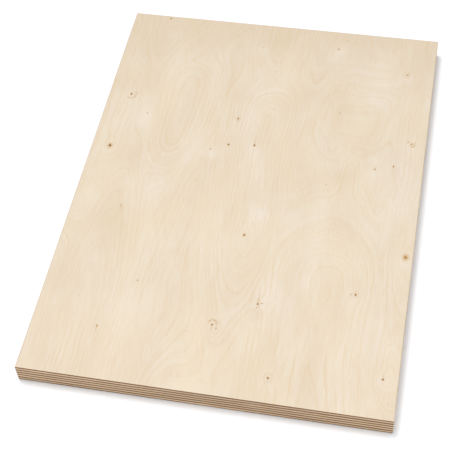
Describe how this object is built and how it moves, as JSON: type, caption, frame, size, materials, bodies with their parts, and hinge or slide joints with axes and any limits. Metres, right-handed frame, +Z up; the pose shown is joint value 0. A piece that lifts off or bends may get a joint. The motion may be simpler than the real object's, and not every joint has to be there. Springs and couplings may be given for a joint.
{
  "type": "plywood sheet",
  "caption": "Flat rectangular birch plywood panel of cross-laminated veneers, with a pale sanded face and sawn edges that show the plies; sheet stock for boxes and shelves.",
  "frame": {"origin": "middle of the underside, where the sheet lies on the floor", "axes": "+Z up through the plies, +Y along the face grain and the long side, +X across the face grain"},
  "size_m": [0.25, 0.35, 0.015],
  "materials": {
    "birch_face": "sanded",
    "birch_long_ply": "sawn",
    "birch_cross_ply": "sawn"
  },
  "bodies": {
    "root": {"back_ply": "birch_face", "cross_ply_1": "birch_cross_ply", "long_ply_1": "birch_long_ply", "cross_ply_2": "birch_cross_ply", "long_ply_2": "birch_long_ply", "cross_ply_3": "birch_cross_ply", "long_ply_3": "birch_long_ply", "cross_ply_4": "birch_cross_ply", "long_ply_4": "birch_long_ply", "cross_ply_5": "birch_cross_ply", "face_ply": "birch_face"}
  },
  "joints": []
}
